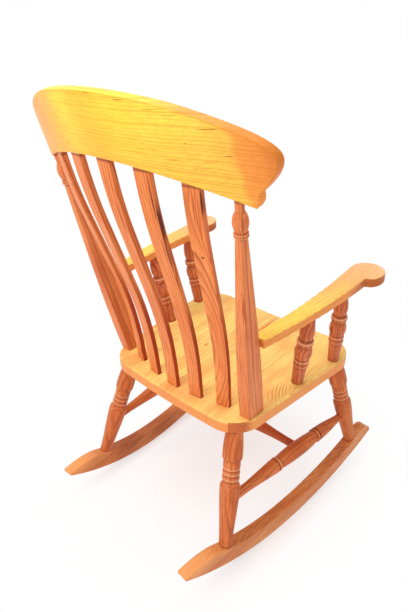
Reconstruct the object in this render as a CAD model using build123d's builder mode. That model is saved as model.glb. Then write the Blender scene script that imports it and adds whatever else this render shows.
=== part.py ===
from build123d import *
import os
from math import cos, radians, sin, sqrt, tan

# A rocking chair with a slatted back, in millimetres.
# The floor is z = 0, the sitter faces -Y, and +X is the sitter's left.
# The chair is even about the plane x = 0, so its left side is drawn and the right one mirrored.
# The pieces are joined by tenons and dowels in mortises with a small glue clearance.

# ------------------------------------------------------------------ driving sizes
fit = 0.15                      # glue clearance round every tenon and dowel

# seat: edge-glued boards, sloping down to the back
seat_height = 407.2             # top of the seat over the origin
seat_slope = 3.43               # degrees
seat_thickness = 31.0
seat_board_count = 4
seat_front_width = 540.0
seat_rear_width = 449.0
seat_front = 262.0              # from the origin to the front corners
seat_rear = 189.0               # from the origin to the rear corners
seat_front_hollow = 8.0         # how far the front edge bows in
seat_rear_bow = 9.0             # how far the rear edge bows out
seat_front_corner = 78.0        # corner radii in plan
seat_rear_corner = 82.0
seat_top_round = 6.0
seat_under_round = 3.0
dish_width = 400.0              # a shallow hollow that runs out to the back
dish_depth = 4.5
dish_end = 70.0                 # from the origin to where it runs out
seat_dowel_diameter = 8.0
seat_dowel_length = 50.0
seat_dowel_count = 3            # in each joint between two boards
seat_dowel_spacing = 120.0
seat_dowel_middle = -60.0       # y of the middle dowel

# crest rail: a curved board that leans back
crest_lean = 15.2               # degrees
crest_radius = 721.0            # of its back face
crest_thickness = 20.0
crest_overhang = 132.7          # its back face, behind the rear corners of the seat
crest_rise = 559.2              # its lower edge, over the level of the seat
crest_depth = 120.0             # from the lower edge to the upper edge, in the middle
crest_lower_arch = 664.0        # radii of the two long edges
crest_upper_arch = 755.0
crest_half_length = 327.6
crest_shoulder = 174.6          # from the tip in to where the upper edge starts to turn down
crest_notch = 30.8              # from the tip in to the notch over the nub
crest_corner = 37.5             # from the tip in to where the nub meets the lower edge
crest_nub_height = 24.9         # from that corner up to the notch
crest_lobe_height = 50.0        # from the notch up to the tip
crest_shoulder_ease = 41.6      # how gently the end turns, above the tip
crest_lobe_ease = 17.5          # and below it
crest_lobe_lift = 15.8          # how steeply the curve leaves the notch
crest_nub_bulge = 3.2
crest_edge_round = 3.5

# back posts
post_base_inset = 23.4          # middle of the post, in from the side of the seat
post_base_setback = 68.0        # and forward of its rear corners
post_top_inset = 67.0           # middle of its top, in from the tip of the crest rail
post_base_width = 30.0
post_base_depth = 51.0
post_waist_height = 285.0       # along the post
post_waist_width = 26.0
post_waist_depth = 37.0
post_neck_height = 384.0
post_neck_width = 21.5
post_neck_depth = 27.5
post_throat_width = 17.0        # under the collar
post_throat_depth = 18.0
post_corner_round = 3.0
post_head_diameter = 22.7       # of the collar's ends
post_ring_count = 2
post_ring_height = 5.0
post_ring_rise = 2.2
post_bulb_foot_diameter = 19.5
post_bulb_diameter = 29.0
post_bulb_height = 40.0
post_shaft_diameter = 16.5      # between the bulb and the crest rail
post_shaft_length = 21.0
post_crest_tenon_diameter = 11.5
post_crest_tenon_length = 24.0
post_seat_tenon_diameter = 20.0
post_seat_tenon_length = 21.0

# back slats: bent laths
slat_count = 5
slat_base_spacing = 71.5        # between neighbours, on the seat
slat_top_spacing = 94.3         # between neighbours, under the crest rail
slat_base_setback = 33.0        # the middle slat, forward of the seat's rear edge
slat_base_bow = 23.0            # how far the outer slats stand forward of it
slat_thickness = 12.5
slat_base_width = 34.0
slat_top_width = 36.0
slat_knee_height = 160.0        # where the lath is bent first, from the seat
slat_knee_depth = 23.4          # how far that bend stands forward
slat_crown_height = 498.0       # where it is bent again
slat_crown_depth = 4.5          # how far that bend stands back
slat_head_setback = 2.5         # behind the middle of the crest rail
slat_bend_radius = 950.0
slat_edge_round = 2.0
slat_seat_tenon_length = 18.0
slat_crest_tenon_length = 20.0
slat_crest_tenon_thickness = 8.0
slat_crest_tenon_width = 28.0

# arms
arm_rise = 230.7                # top of the arm over the level of the seat, at y = 0
arm_slope = 5.5                 # degrees, rising to the front
arm_thickness = 25.5
arm_rear_width = 28.0
arm_rear_shift = 6.0            # middle of the rear end, out from the middle of the post
arm_waist_width = 44.0
arm_overhang = 10.5             # middle of the waist, out from the side of the seat
arm_waist_y = -35.0
arm_scroll_shift = 14.0         # middle of the scroll, out from the middle of the waist
arm_scroll_setback = 40.0       # and back from the front corners of the seat
arm_scroll_radius = 42.0
arm_scroll_end = 48.0           # degrees, where the scroll turns in to the notch
arm_notch_out = 16.0            # the notch, from the middle of the scroll
arm_notch_back = 36.0
arm_notch_round = 4.0
arm_edge_round = 4.5
arm_post_gap = 1.0
arm_dowel_diameter = 12.0
arm_dowel_length = 44.0
arm_dowel_in_post = 20.0

# arm spindles: foot on the seat, head under the arm
spindle_insets = {"rear": 25.2, "front": 20.7}      # in from the side of the seat
spindle_setbacks = {"rear": 226.0, "front": 92.0}   # back from its front corners
spindle_leans = {"rear": 29.0, "front": 27.0}       # how far the head is behind the foot
spindle_foot_radius = 14.0
spindle_flare_radius = 16.3
spindle_flare_height = 57.5
spindle_bead_height = 13.5
spindle_bead_count = 2
spindle_bead_rise = 2.0
spindle_ball_radius = 20.5
spindle_ball_height = 40.0
spindle_waist_radius = 14.8
spindle_ring_height = 20.5
spindle_ring_rise = 5.0
spindle_vase_radius = 17.2
spindle_vase_rise = 18.0        # from the ring to the widest point
spindle_head_radius = 12.5
spindle_tenon_diameter = 15.0
spindle_seat_tenon_length = 18.0
spindle_arm_tenon_length = 15.0

# rockers
rocker_length = 731.0
rocker_radii = {"rear": 676.0, "front": 894.0}     # of the running edge, behind and before its contact
rocker_contact = 25.8           # y where it meets the floor, under the chair's centre of mass
rocker_depth = 46.5
rocker_thickness = 31.0
rocker_outset = 5.0             # middle of the board at y = 0, out from the side of the seat
rocker_toe = 4.03               # degrees that the boards draw together to the back
rocker_rear_taper = 106.0
rocker_front_taper = 52.0
rocker_taper_ease = 32.0        # how gently the upper edge turns into the rear taper
rocker_front_ease = 20.0        # and into the front one
rocker_rear_tip_depth = 6.0
rocker_tip_round = 2.4
rocker_edge_round = 2.0

# legs: head under the seat, foot on the rocker
leg_insets = {"rear": 44.5, "front": 42.9}          # in from the side of the seat
leg_setbacks = {"rear": 411.0, "front": 51.0}       # back from its front corners
leg_splays = {"rear": 82.0, "front": -66.5}         # how far the foot is behind the head
leg_head_radius = 17.0
leg_bulb_radius = 24.0
leg_bulb_middle_radius = 22.4
leg_bulb_place = 71.0           # widest place of the bulb, from the seat
leg_shoulder_length = 13.0
leg_throat_radius = 19.2
leg_bead_lengths = (24.5, 13.5, 13.5)
leg_bead_rise = 1.4
leg_swell_radius = 24.3
leg_swell_length = 16.0
leg_swell_ease = 0.5            # how gently it swells, as a share of that length
leg_taper_ease = 0.3            # and how gently it tapers to the ankle
leg_ankle_radius = 16.0
leg_seat_tenon_diameter = 24.0
leg_seat_tenon_length = 20.0
leg_rocker_tenon_diameter = 17.0
leg_rocker_tenon_length = 24.0

# stretchers
stretcher_heights = {"rear": 188.5, "front": 199.0}
stretcher_rear_radius = 11.0
stretcher_rear_plain = 46.8     # length of the plain rear end
stretcher_front_radius = 9.6
stretcher_front_plain = 23.4
stretcher_end_ease = 23.4       # how gently the plain ends swell
stretcher_cone_radius = 18.2    # of the two cones, where they end at a groove
stretcher_rear_ease = 9.0       # how gently each cone tapers from there
stretcher_front_ease = 42.0
stretcher_middle_radius = 20.3
stretcher_groove_radius = 16.2
stretcher_groove_length = 3.0
stretcher_collar_length = 10.0
stretcher_collar_rise = 2.6
stretcher_rear_collar = 0.369   # places of the collars along the stretcher
stretcher_front_collar = 0.7025
stretcher_end_stop = 3.0        # its tenons end short of the leg's middle
cross_place = 0.556             # along the side stretchers
cross_end_radius = 10.5
cross_end_plain = 19.0
cross_middle_radius = 22.0
cross_end_stop = 6.0

os.makedirs("parts", exist_ok=True)
left_side = Vector(1, 0, 0)
upwards = Vector(0, 0, 1)


# ------------------------------------------------------------------ helpers
def leaning_plane(height, slope):
    """Plane over the floor that falls to the back by slope degrees."""
    normal = Vector(0, sin(radians(slope)), cos(radians(slope)))
    return Plane(origin=(0, 0, height), x_dir=left_side, z_dir=normal)


def on_plane(plane, x, y):
    """Point of a leaning plane over the floor point (x, y)."""
    normal = plane.z_dir
    return Vector(x, y, plane.origin.Z - normal.Y / normal.Z * (y - plane.origin.Y))


def along(start, end, distance):
    """Point on the line from start to end, at a distance from start."""
    return start + (end - start).normalized() * distance


def turning_plane(start, end):
    """Plane for half a turned outline: local x is the radius, local y runs from start to end."""
    axis = (end - start).normalized()
    radius = axis.cross(left_side + upwards).normalized()
    return Plane(origin=start, x_dir=radius, z_dir=radius.cross(axis))


def flow(start, end, ease=0.4):
    """Curve between two (radius, place) points that leaves and arrives along the axis."""
    reach = (end[1] - start[1]) * ease
    Bezier(start, (start[0], start[1] + reach), (end[0], end[1] - reach), end)


def bead(radius, place, length, rise):
    """Round bead that stands on a turned outline."""
    ThreePointArc((radius, place), (radius + rise, place + length / 2), (radius, place + length))


def round_joint(shoulder, direction, diameter, length):
    """A round tenon that leaves its piece at the shoulder, and the mortise that takes it."""
    into = direction.normalized()
    with BuildPart() as tenon:
        with BuildSketch(Plane(origin=shoulder - into * length / 2, z_dir=into)):
            Circle(diameter / 2)
        extrude(amount=1.5 * length)
    with BuildPart() as mortise:
        with BuildSketch(Plane(origin=shoulder - into * length, z_dir=into)):
            Circle(diameter / 2 + fit)
        extrude(amount=2 * length + fit)
    return tenon.part, mortise.part


def flat_joint(plane, thickness, width, length):
    """The same for a flat tenon that leaves along the plane's normal."""
    with BuildPart() as tenon:
        with BuildSketch(plane.offset(-length / 2)):
            Rectangle(thickness, width)
        extrude(amount=1.5 * length)
    with BuildPart() as mortise:
        with BuildSketch(plane.offset(-length)):
            Rectangle(thickness + 2 * fit, width + 2 * fit)
        extrude(amount=2 * length + fit)
    return tenon.part, mortise.part


def dowel(start, end, diameter):
    """A round dowel from start to end, and the hole that takes it."""
    into = (end - start).normalized()
    length = (end - start).length
    with BuildPart() as pin:
        with BuildSketch(Plane(origin=start, z_dir=into)):
            Circle(diameter / 2)
        extrude(amount=length)
    with BuildPart() as hole:
        with BuildSketch(Plane(origin=start - into * fit, z_dir=into)):
            Circle(diameter / 2 + fit)
        extrude(amount=length + 2 * fit)
    return pin.part, hole.part


def joined(piece, tenons, mortises):
    """A piece with its tenons added and the mortises of its neighbours cut."""
    with BuildPart() as work:
        add(piece)
        if tenons:
            add(tenons)
        if mortises:
            add(mortises, mode=Mode.SUBTRACT)
    return work.part


def mirrored(piece):
    """The same piece for the other side of the chair."""
    with BuildPart() as twin:
        mirror(piece, about=Plane.YZ)
    return twin.part


def save_pair(piece, name):
    """Write the left piece and its mirror image."""
    save(piece, f"{name}_left")
    save(mirrored(piece), f"{name}_right")


def save(piece, name):
    """Label a finished piece and write its file."""
    piece.label = name
    export_step(piece, f"parts/{name}.step")


# ------------------------------------------------------------------ seat blank
seat_plane = leaning_plane(seat_height, seat_slope)


def seat_side(y):
    """Distance from the middle of the chair to the side of the seat at y."""
    share = (y + seat_front) / (seat_rear + seat_front)
    return (seat_front_width + (seat_rear_width - seat_front_width) * share) / 2


def seat_panel():
    """The whole seat before it is parted into boards and mortised."""
    front_right, front_left = (-seat_front_width / 2, -seat_front), (seat_front_width / 2, -seat_front)
    rear_right, rear_left = (-seat_rear_width / 2, seat_rear), (seat_rear_width / 2, seat_rear)
    dish_start = seat_plane.from_local_coords((0, -seat_front, -dish_depth))
    dish_finish = seat_plane.from_local_coords((0, dish_end, 0))
    dish_radius = dish_width**2 / (8 * dish_depth) + dish_depth / 2
    dish_plane = Plane(origin=dish_start, x_dir=left_side, z_dir=dish_finish - dish_start)
    with BuildPart() as panel:
        with BuildSketch(seat_plane) as plan:
            with BuildLine():
                ThreePointArc(front_right, (0, seat_front_hollow - seat_front), front_left)
                Line(front_left, rear_left)
                ThreePointArc(rear_left, (0, seat_rear + seat_rear_bow), rear_right)
                Line(rear_right, front_right)
            make_face()
            fillet(plan.vertices().group_by(Axis.Y)[0], radius=seat_front_corner)
            fillet(plan.vertices().group_by(Axis.Y)[-1], radius=seat_rear_corner)
        extrude(amount=-seat_thickness)
        sides = panel.faces().filter_by(lambda f: abs(f.normal_at().dot(seat_plane.z_dir)) < 0.1)
        rims = sides.edges().filter_by(lambda e: abs(e.tangent_at(0.5).dot(seat_plane.z_dir)) < 0.5)
        middle = seat_plane.offset(-seat_thickness / 2)
        fillet(rims.filter_by(lambda e: middle.to_local_coords(e.center()).Z > 0), seat_top_round)
        under = panel.faces().sort_by(Axis(seat_plane.origin, seat_plane.z_dir))[0]
        fillet(under.edges(), seat_under_round)
        with BuildSketch(dish_plane):
            with Locations((0, -dish_radius)):
                Circle(dish_radius)
        extrude(amount=seat_front + dish_end, both=True, mode=Mode.SUBTRACT)
    return panel.part


seat_blank = seat_panel()

# ------------------------------------------------------------------ crest rail blank
crest_normal = Vector(0, -cos(radians(crest_lean)), sin(radians(crest_lean)))
crest_plane = Plane(
    origin=(0, seat_rear + crest_overhang, seat_height + crest_rise),
    x_dir=left_side,
    z_dir=crest_normal,
)


def arch(radius, x):
    """How far an arch of this radius has dropped at x."""
    return radius - sqrt(radius**2 - x**2)


def crest_point(x, height, depth):
    """Point of the crest rail at x, at a height along it and a depth from its back face."""
    return crest_plane.from_local_coords((x, height, depth + arch(crest_radius, x)))


def crest_half_outline():
    """Back view of the left half: lower edge, nub, notch, rounded end and upper edge."""
    corner_x, shoulder_x = crest_half_length - crest_corner, crest_half_length - crest_shoulder
    corner = (corner_x, -arch(crest_lower_arch, corner_x))
    notch = (crest_half_length - crest_notch, corner[1] + crest_nub_height)
    tip = (crest_half_length, notch[1] + crest_lobe_height)
    shoulder = (shoulder_x, crest_depth - arch(crest_upper_arch, shoulder_x))
    lower_mid = (corner_x / 2, -arch(crest_lower_arch, corner_x / 2))
    upper_mid = (shoulder_x / 2, crest_depth - arch(crest_upper_arch, shoulder_x / 2))
    slope = shoulder_x / crest_upper_arch
    above = (tip[0], tip[1] + crest_shoulder_ease)
    before = (shoulder[0] + crest_shoulder_ease, shoulder[1] - crest_shoulder_ease * slope)
    below = (tip[0], tip[1] - crest_lobe_ease)
    inward = (notch[0] + crest_lobe_ease, notch[1] + crest_lobe_lift)
    nub = ((notch[0] + corner[0]) / 2 + crest_nub_bulge, (notch[1] + corner[1]) / 2)
    ThreePointArc((0, 0), lower_mid, corner)
    ThreePointArc(corner, nub, notch)
    Bezier(notch, inward, below, tip)
    Bezier(tip, above, before, shoulder)
    ThreePointArc(shoulder, upper_mid, (0, crest_depth))


def crest_board():
    """The crest rail before it is mortised."""
    bow_plane = Plane(
        origin=crest_plane.from_local_coords((0, 0, crest_radius)),
        x_dir=left_side,
        z_dir=crest_plane.y_dir,
    )
    with BuildPart() as board:
        with BuildSketch(crest_plane):
            with BuildLine():
                crest_half_outline()
                Line((0, crest_depth), (0, 0))
            make_face()
            mirror(about=Plane.YZ)
        extrude(amount=arch(crest_radius, crest_half_length) + 2 * crest_thickness)
        with BuildSketch(bow_plane):
            Circle(crest_radius)
            Circle(crest_radius - crest_thickness, mode=Mode.SUBTRACT)
        extrude(amount=2 * crest_depth, both=True, mode=Mode.INTERSECT)
        broad = board.faces().filter_by(GeomType.CYLINDER).sort_by(SortBy.AREA)[-2:]
        fillet(broad.edges(), crest_edge_round)
    return board.part


crest_blank = crest_board()


def crest_under(x, setback=0):
    """Point of the crest rail's lower edge at x, at a setback behind the middle of its thickness."""
    return crest_point(x, -arch(crest_lower_arch, abs(x)), crest_thickness / 2 - setback)


# ------------------------------------------------------------------ back posts
post_base_y = seat_rear - post_base_setback
post_base = on_plane(seat_plane, seat_side(post_base_y) - post_base_inset, post_base_y)
post_top = crest_under(crest_half_length - post_top_inset)
post_length = (post_top - post_base).length
post_plane = Plane(origin=post_base, x_dir=left_side, z_dir=post_top - post_base)
arm_plane = leaning_plane(seat_height + arm_rise, arm_slope)


def post_outline(collar):
    """The turned head of the post from a height up: ringed collar, bulb and shaft."""
    head_radius, shaft_radius = post_head_diameter / 2, post_shaft_diameter / 2
    bulb_foot_radius = post_bulb_foot_diameter / 2
    bulb = collar + post_ring_count * post_ring_height
    shaft = bulb + post_bulb_height
    end = post_length + post_shaft_diameter / 4
    Line((0, collar), (head_radius, collar))
    for number in range(post_ring_count):
        bead(head_radius, collar + number * post_ring_height, post_ring_height, post_ring_rise)
    Line((head_radius, bulb), (bulb_foot_radius, bulb))
    ThreePointArc(
        (bulb_foot_radius, bulb),
        (post_bulb_diameter / 2, bulb + post_bulb_height / 2),
        (shaft_radius, shaft),
    )
    Line((shaft_radius, shaft), (shaft_radius, end))
    Line((shaft_radius, end), (0, end))
    Line((0, end), (0, collar))


def back_post():
    """A post on the sitter's left, before its tenons."""
    collar = post_length - post_shaft_length - post_bulb_height - post_ring_count * post_ring_height
    with BuildPart() as post:
        with BuildSketch(post_plane.offset(-post_base_depth / 4)):
            RectangleRounded(post_base_width, post_base_depth, post_corner_round)
        with BuildSketch(post_plane.offset(post_waist_height)):
            RectangleRounded(post_waist_width, post_waist_depth, post_corner_round)
        with BuildSketch(post_plane.offset(post_neck_height)):
            RectangleRounded(post_neck_width, post_neck_depth, post_corner_round)
        with BuildSketch(post_plane.offset(collar)):
            RectangleRounded(post_throat_width, post_throat_depth, post_corner_round)
        loft()
        with BuildSketch(turning_plane(post_base, post_top)):
            with BuildLine():
                post_outline(collar)
            make_face()
        revolve(axis=Axis(post_base, post_top - post_base))
        add(seat_blank, mode=Mode.SUBTRACT)
        add(crest_blank, mode=Mode.SUBTRACT)
    return post.part


# ------------------------------------------------------------------ back slats
def back_slat(place):
    """The lath at a place counted from the middle, with its mortises in seat and crest rail."""
    outermost = (slat_count - 1) / 2
    bow = slat_base_bow * (place / outermost) ** 2
    foot_y = seat_rear + seat_rear_bow - slat_base_setback - bow
    foot = on_plane(seat_plane, place * slat_base_spacing, foot_y)
    head = crest_under(place * slat_top_spacing, slat_head_setback)
    rise = (head - foot).length
    turn = place * slat_top_spacing / crest_radius
    across = Vector(sin(turn), cos(turn), 0).cross(head - foot).normalized()
    side = Plane(origin=foot, x_dir=(head - foot).cross(across), z_dir=across)
    front = Plane(origin=foot, x_dir=across, z_dir=side.x_dir * -1)
    knee = Vector(-slat_knee_depth, slat_knee_height)
    crown = Vector(slat_crown_depth, slat_crown_height)
    bend, upper_bend = side.from_local_coords(knee), side.from_local_coords(crown)
    start = along(Vector(0, 0), knee, -slat_seat_tenon_length)
    finish = along(Vector(0, rise), crown, -slat_crest_tenon_length / 2)
    start_plane = Plane(origin=side.from_local_coords(start), x_dir=side.x_dir, z_dir=bend - foot)
    low, high = slat_base_width - slat_top_width / 2, slat_top_width - slat_base_width / 2
    path = [(point.X, point.Y) for point in (start, knee, crown, finish)]
    with BuildPart() as lath:
        with BuildLine(side):
            FilletPolyline(path, radius=slat_bend_radius)
        with BuildSketch(start_plane):
            Rectangle(slat_thickness, 2 * slat_top_width)
        sweep()
        with BuildSketch(front):
            with BuildLine():
                Polyline((-low, -rise), (low, -rise), (high, 2 * rise), (-high, 2 * rise), (-low, -rise))
            make_face()
        extrude(amount=rise, both=True, mode=Mode.INTERSECT)
        long_edges = lath.edges().filter_by(lambda e: abs(e.tangent_at(0.5).dot(side.y_dir)) > 0.7)
        fillet(long_edges, slat_edge_round)
        add(crest_blank, mode=Mode.SUBTRACT)
    foot_plane = Plane(origin=foot, x_dir=side.x_dir, z_dir=foot - bend)
    head_plane = Plane(origin=head, x_dir=side.x_dir, z_dir=head - upper_bend)
    _, seat_mortise = flat_joint(foot_plane, slat_thickness, slat_base_width, slat_seat_tenon_length)
    tenon, crest_mortise = flat_joint(
        head_plane, slat_crest_tenon_thickness, slat_crest_tenon_width, slat_crest_tenon_length
    )
    return joined(lath.part, [tenon], []), seat_mortise, crest_mortise


# ------------------------------------------------------------------ arms
post_axis = (post_top - post_base).normalized()
arm_middle = arm_plane.offset(-arm_thickness / 2)
post_arm_height = arm_middle.z_dir.dot(arm_middle.origin - post_base) / arm_middle.z_dir.dot(post_axis)
post_at_arm = post_base + post_axis * post_arm_height
post_taper = (post_base_depth - post_waist_depth) / post_waist_height
post_face = (post_base_depth - post_taper * post_arm_height) / 2
arm_end = Plane(
    origin=post_at_arm - post_plane.y_dir * (post_face + arm_post_gap),
    z_dir=post_plane.y_dir,
)
arm_rear_middle = post_at_arm.X + arm_rear_shift
arm_waist_middle = seat_side(arm_waist_y) + arm_overhang


def arm_blank():
    """The left arm before its spindles and dowel, cut to fit the face of the post."""
    scroll_x, scroll_y = arm_waist_middle + arm_scroll_shift, arm_scroll_setback - seat_front
    rear_inner = (arm_rear_middle - arm_rear_width / 2, post_at_arm.Y)
    rear_outer = (arm_rear_middle + arm_rear_width / 2, post_at_arm.Y)
    waist_inner = (arm_waist_middle - arm_waist_width / 2, arm_waist_y)
    waist_outer = (arm_waist_middle + arm_waist_width / 2, arm_waist_y)
    scroll_inner = (scroll_x - arm_scroll_radius, scroll_y)
    scroll_front = (scroll_x, scroll_y - arm_scroll_radius)
    turn = radians(arm_scroll_end)
    scroll_end = (scroll_x + arm_scroll_radius * cos(turn), scroll_y + arm_scroll_radius * sin(turn))
    notch = (scroll_x + arm_notch_out, scroll_y + arm_notch_back)
    with BuildPart() as arm:
        with BuildSketch(arm_plane):
            with BuildLine():
                ThreePointArc(rear_inner, waist_inner, scroll_inner)
                ThreePointArc(scroll_inner, scroll_front, scroll_end)
                Line(scroll_end, notch)
                ThreePointArc(notch, waist_outer, rear_outer)
                Line(rear_outer, rear_inner)
            face = make_face()
            fillet(face.vertices().sort_by_distance(notch)[0], radius=arm_notch_round)
        extrude(amount=-arm_thickness)
        split(bisect_by=arm_end, keep=Keep.BOTTOM)
        flats = arm.faces().filter_by(lambda f: abs(f.normal_at().dot(arm_plane.z_dir)) > 0.99)
        fillet(flats.edges(), arm_edge_round)
    return arm.part


# ------------------------------------------------------------------ arm spindles
def spindle_outline(length):
    """Outline from the seat up: flare, beads, ball, waist, ring and vase."""
    beads = spindle_flare_height
    ball = beads + spindle_bead_count * spindle_bead_height
    ring = ball + spindle_ball_height
    vase = ring + spindle_ring_height
    widest = vase + spindle_vase_rise
    groove = spindle_flare_radius
    below, above = -spindle_seat_tenon_length / 2, length + spindle_arm_tenon_length / 2
    Polyline((0, below), (spindle_foot_radius, below), (spindle_foot_radius, 0))
    flow((spindle_foot_radius, 0), (groove, beads))
    for number in range(spindle_bead_count):
        bead(groove, beads + number * spindle_bead_height, spindle_bead_height, spindle_bead_rise)
    ThreePointArc(
        (groove, ball),
        (spindle_ball_radius, ball + spindle_ball_height / 2),
        (spindle_waist_radius, ring),
    )
    bead(spindle_waist_radius, ring, spindle_ring_height, spindle_ring_rise)
    flow((spindle_waist_radius, vase), (spindle_vase_radius, widest))
    flow((spindle_vase_radius, widest), (spindle_head_radius, length))
    Polyline((spindle_head_radius, length), (spindle_head_radius, above), (0, above), (0, below))


def arm_spindle(place, arm):
    """The left spindle at a place, with its mortises in seat and arm."""
    foot_y = spindle_setbacks[place] - seat_front
    foot = on_plane(seat_plane, seat_side(foot_y) - spindle_insets[place], foot_y)
    arm_under = arm_plane.offset(-arm_thickness)
    head = on_plane(arm_under, arm_waist_middle, foot_y + spindle_leans[place])
    with BuildPart() as spindle:
        with BuildSketch(turning_plane(foot, head)):
            with BuildLine():
                spindle_outline((head - foot).length)
            make_face()
        revolve(axis=Axis(foot, head - foot))
        add(seat_blank, mode=Mode.SUBTRACT)
        add(arm, mode=Mode.SUBTRACT)
    lower, seat_mortise = round_joint(foot, foot - head, spindle_tenon_diameter, spindle_seat_tenon_length)
    upper, arm_mortise = round_joint(head, head - foot, spindle_tenon_diameter, spindle_arm_tenon_length)
    return joined(spindle.part, [lower, upper], []), seat_mortise, arm_mortise


# ------------------------------------------------------------------ rockers
toe = radians(rocker_toe)
rocker_forward = Vector(-sin(toe), cos(toe), 0)
rocker_normal = Vector(cos(toe), sin(toe), 0)
rocker_middle = seat_side(0) + rocker_outset
rocker_origin = (rocker_middle - tan(toe) * rocker_contact, rocker_contact, 0)
rocker_plane = Plane(origin=rocker_origin, x_dir=rocker_forward, z_dir=rocker_normal)


def rocker_point(place, run, depth):
    """Point in the rocker's plane at a run from the contact and a depth in from the running edge."""
    return Vector(run, depth + arch(rocker_radii[place] - depth, run))


def rocker_blank():
    """The left rocker before its mortises."""
    rear = (rocker_length / 2 - rocker_contact) / cos(toe)
    front = -(rocker_length / 2 + rocker_contact) / cos(toe)
    rear_tip = rocker_point("rear", rear, 0)
    front_tip = rocker_point("front", front, 0)
    rear_end = rear_tip + Vector(0, rocker_rear_tip_depth)
    rear_start = rocker_point("rear", rear - rocker_rear_taper, rocker_depth)
    front_start = rocker_point("front", front + rocker_front_taper, rocker_depth)
    rear_radius = Vector(0, rocker_radii["rear"]) - rear_start
    front_radius = Vector(0, rocker_radii["front"]) - front_start
    rear_slope = rear_radius.rotate(Axis.Z, -90).normalized() * rocker_taper_ease
    front_slope = front_radius.rotate(Axis.Z, 90).normalized() * rocker_front_ease
    rear_ease = Vector(-rocker_taper_ease, rocker_rear_tip_depth)
    front_ease = Vector(0, rocker_front_ease)
    with BuildPart() as rocker:
        with BuildSketch(rocker_plane) as side:
            with BuildLine():
                ThreePointArc(front_tip, rocker_point("front", front / 2, 0), (0, 0))
                ThreePointArc((0, 0), rocker_point("rear", rear / 2, 0), rear_tip)
                Line(rear_tip, rear_end)
                Bezier(rear_end, rear_end + rear_ease, rear_start + rear_slope, rear_start)
                ThreePointArc(rear_start, rocker_point("rear", rear / 2, rocker_depth), (0, rocker_depth))
                ThreePointArc((0, rocker_depth), rocker_point("front", front / 2, rocker_depth), front_start)
                Bezier(front_start, front_start + front_slope, front_tip + front_ease, front_tip)
            make_face()
            fillet(side.vertices().sort_by_distance(front_tip)[0], radius=rocker_tip_round)
            fillet(side.vertices().sort_by_distance(rear_tip)[:2], radius=rocker_tip_round)
        extrude(amount=rocker_thickness / 2, both=True)
        flats = rocker.faces().filter_by(lambda f: abs(f.normal_at().dot(rocker_normal)) > 0.99)
        fillet(flats.edges(), rocker_edge_round)
    return rocker.part


# ------------------------------------------------------------------ legs
def leg_outline(length):
    """Outline from the seat down: head, bulb, beads, swell and ankle."""
    throat = leg_bulb_place + leg_shoulder_length
    swell = throat + sum(leg_bead_lengths)
    widest = swell + leg_swell_length
    above, below = -leg_seat_tenon_length / 2, length + leg_rocker_tenon_length / 2
    Polyline((0, above), (leg_head_radius, above), (leg_head_radius, 0))
    ThreePointArc(
        (leg_head_radius, 0),
        (leg_bulb_middle_radius, leg_bulb_place / 2),
        (leg_bulb_radius, leg_bulb_place),
    )
    Bezier(
        (leg_bulb_radius, leg_bulb_place),
        (leg_bulb_radius, leg_bulb_place + leg_shoulder_length / 2),
        (leg_bulb_radius, throat),
        (leg_throat_radius, throat),
    )
    for number, bead_length in enumerate(leg_bead_lengths):
        bead(leg_throat_radius, throat + sum(leg_bead_lengths[:number]), bead_length, leg_bead_rise)
    flow((leg_throat_radius, swell), (leg_swell_radius, widest), leg_swell_ease)
    flow((leg_swell_radius, widest), (leg_ankle_radius, length), leg_taper_ease)
    Polyline((leg_ankle_radius, length), (leg_ankle_radius, below), (0, below), (0, above))


def leg_line(place):
    """Where the left leg at a place meets the seat and the rocker."""
    head_y = leg_setbacks[place] - seat_front
    head = on_plane(seat_plane.offset(-seat_thickness), seat_side(head_y) - leg_insets[place], head_y)
    run = (head_y + leg_splays[place] - rocker_contact) / cos(toe)
    return head, rocker_plane.from_local_coords(rocker_point(place, run, rocker_depth))


def leg(place):
    """The left leg at a place, with its mortises in seat and rocker."""
    head, foot = leg_line(place)
    with BuildPart() as turned:
        with BuildSketch(turning_plane(head, foot)):
            with BuildLine():
                leg_outline((foot - head).length)
            make_face()
        revolve(axis=Axis(head, foot - head))
        with BuildSketch(rocker_plane):
            with Locations((0, rocker_radii[place])):
                Circle(rocker_radii[place] - rocker_depth)
        extrude(amount=seat_front_width, both=True, mode=Mode.INTERSECT)
        add(seat_blank, mode=Mode.SUBTRACT)
    upper, seat_mortise = round_joint(head, head - foot, leg_seat_tenon_diameter, leg_seat_tenon_length)
    lower, rocker_mortise = round_joint(
        foot, foot - head, leg_rocker_tenon_diameter, leg_rocker_tenon_length
    )
    return joined(turned.part, [upper, lower], []), seat_mortise, rocker_mortise


# ------------------------------------------------------------------ stretchers
def leg_at(place, height):
    """Point of a left leg's middle line at a height."""
    head, foot = leg_line(place)
    return head + (foot - head) * ((head.Z - height) / (head.Z - foot.Z))


def plug(start, direction, radius, stop):
    """The hole for a turned end that stops short of start, on its way from direction."""
    out = direction.normalized()
    with BuildPart() as hole:
        with BuildSketch(Plane(origin=start + out * (stop - fit), z_dir=out)):
            Circle(radius + fit)
        extrude(amount=4 * radius)
    return hole.part


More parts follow.
